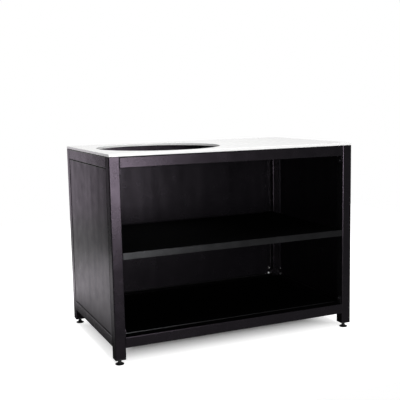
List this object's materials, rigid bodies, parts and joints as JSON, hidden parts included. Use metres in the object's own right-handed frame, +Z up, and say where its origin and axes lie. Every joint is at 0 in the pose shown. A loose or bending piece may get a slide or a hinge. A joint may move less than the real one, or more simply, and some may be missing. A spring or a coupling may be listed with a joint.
{
  "type": "kamado grill table",
  "caption": "Open-fronted outdoor table for a round ceramic grill: square-tube frame with sheet sides and back, shelf, floor, white slab with a round cut-out, and screw feet.",
  "frame": {"origin": "on the floor, under the middle of the table in plan", "axes": "+X to the right along the open front, +Y to the back, +Z up; the open front faces -Y"},
  "size_m": [1, 0.6, 0.756],
  "materials": {
    "frame_paint": "fine-textured charcoal powder coat",
    "panel_paint": "fine-textured charcoal powder coat on sheet",
    "white_slab": "satin white solid slab with eased edges",
    "black_rubber": "plain black gasket strip",
    "black_nylon": "moulded black nylon",
    "black_bolts": "black oxide steel",
    "foot_steel": "zinc-plated threaded steel"
  },
  "bodies": {
    "frame": {"back_panel": "panel_paint", "bottom_rail_front": "frame_paint", "bottom_rail_front_bolt_left": "black_bolts", "bottom_rail_front_bolt_right": "black_bolts", "bottom_rail_left": "frame_paint", "bottom_rail_left_bolt_front": "black_bolts", "bottom_rail_left_bolt_rear": "black_bolts", "bottom_rail_rear": "frame_paint", "bottom_rail_rear_bolt_left": "black_bolts", "bottom_rail_rear_bolt_right": "black_bolts", "bottom_rail_right": "frame_paint", "bottom_rail_right_bolt_front": "black_bolts", "bottom_rail_right_bolt_rear": "black_bolts", "floor_tray": "panel_paint", "middle_shelf": "panel_paint", "post_front_left": "frame_paint", "post_front_right": "frame_paint", "post_plug_front_left": "black_nylon", "post_plug_front_right": "black_nylon", "post_plug_rear_left": "black_nylon", "post_plug_rear_right": "black_nylon", "post_rear_left": "frame_paint", "post_rear_right": "frame_paint", "shelf_bearer_left": "frame_paint", "shelf_bearer_left_bolt_front": "black_bolts", "shelf_bearer_left_bolt_rear": "black_bolts", "shelf_bearer_right": "frame_paint", "shelf_bearer_right_bolt_front": "black_bolts", "shelf_bearer_right_bolt_rear": "black_bolts", "shelf_screw_front_left": "black_bolts", "shelf_screw_front_right": "black_bolts", "shelf_screw_rear_left": "black_bolts", "shelf_screw_rear_right": "black_bolts", "shelf_stiffener_front": "frame_paint", "shelf_stiffener_rear": "frame_paint", "side_panel_left": "panel_paint", "side_panel_right": "panel_paint", "top_cross_rail": "frame_paint", "top_rail_front": "frame_paint", "top_rail_front_bolt_left": "black_bolts", "top_rail_front_bolt_right": "black_bolts", "top_rail_left": "frame_paint", "top_rail_left_bolt_front": "black_bolts", "top_rail_left_bolt_rear": "black_bolts", "top_rail_rear": "frame_paint", "top_rail_rear_bolt_left": "black_bolts", "top_rail_rear_bolt_right": "black_bolts", "top_rail_right": "frame_paint", "top_rail_right_bolt_front": "black_bolts", "top_rail_right_bolt_rear": "black_bolts", "worktop": "white_slab", "worktop_gasket": "black_rubber"},
    "pad_front_left": {"foot_pad_front_left": "black_nylon"},
    "stud_front_left": {"foot_stud_front_left": "foot_steel"},
    "pad_front_right": {"foot_pad_front_right": "black_nylon"},
    "stud_front_right": {"foot_stud_front_right": "foot_steel"},
    "pad_rear_left": {"foot_pad_rear_left": "black_nylon"},
    "stud_rear_left": {"foot_stud_rear_left": "foot_steel"},
    "pad_rear_right": {"foot_pad_rear_right": "black_nylon"},
    "stud_rear_right": {"foot_stud_rear_right": "foot_steel"}
  },
  "joints": [
    {"name": "foot_height_front_left", "type": "slide", "parent": "frame", "child": "pad_front_left", "axis": [0, 0, 1], "range_m": [-0.015, 0.005]},
    {"name": "foot_screw_front_left", "type": "hinge", "parent": "pad_front_left", "child": "stud_front_left", "pos_m": [-0.48, -0.28, 0.03], "axis": [0, 0, 1], "range_deg": [-4320, 1440]},
    {"name": "foot_height_front_right", "type": "slide", "parent": "frame", "child": "pad_front_right", "axis": [0, 0, 1], "range_m": [-0.015, 0.005]},
    {"name": "foot_screw_front_right", "type": "hinge", "parent": "pad_front_right", "child": "stud_front_right", "pos_m": [0.48, -0.28, 0.03], "axis": [0, 0, 1], "range_deg": [-4320, 1440]},
    {"name": "foot_height_rear_left", "type": "slide", "parent": "frame", "child": "pad_rear_left", "axis": [0, 0, 1], "range_m": [-0.015, 0.005]},
    {"name": "foot_screw_rear_left", "type": "hinge", "parent": "pad_rear_left", "child": "stud_rear_left", "pos_m": [-0.48, 0.28, 0.03], "axis": [0, 0, 1], "range_deg": [-4320, 1440]},
    {"name": "foot_height_rear_right", "type": "slide", "parent": "frame", "child": "pad_rear_right", "axis": [0, 0, 1], "range_m": [-0.015, 0.005]},
    {"name": "foot_screw_rear_right", "type": "hinge", "parent": "pad_rear_right", "child": "stud_rear_right", "pos_m": [0.48, 0.28, 0.03], "axis": [0, 0, 1], "range_deg": [-4320, 1440]}
  ],
  "couplings": [
    {"joint": "foot_screw_front_left", "follows": "foot_height_front_left", "rad_per_m": 5026.5},
    {"joint": "foot_screw_front_right", "follows": "foot_height_front_right", "rad_per_m": 5026.5},
    {"joint": "foot_screw_rear_left", "follows": "foot_height_rear_left", "rad_per_m": 5026.5},
    {"joint": "foot_screw_rear_right", "follows": "foot_height_rear_right", "rad_per_m": 5026.5}
  ]
}
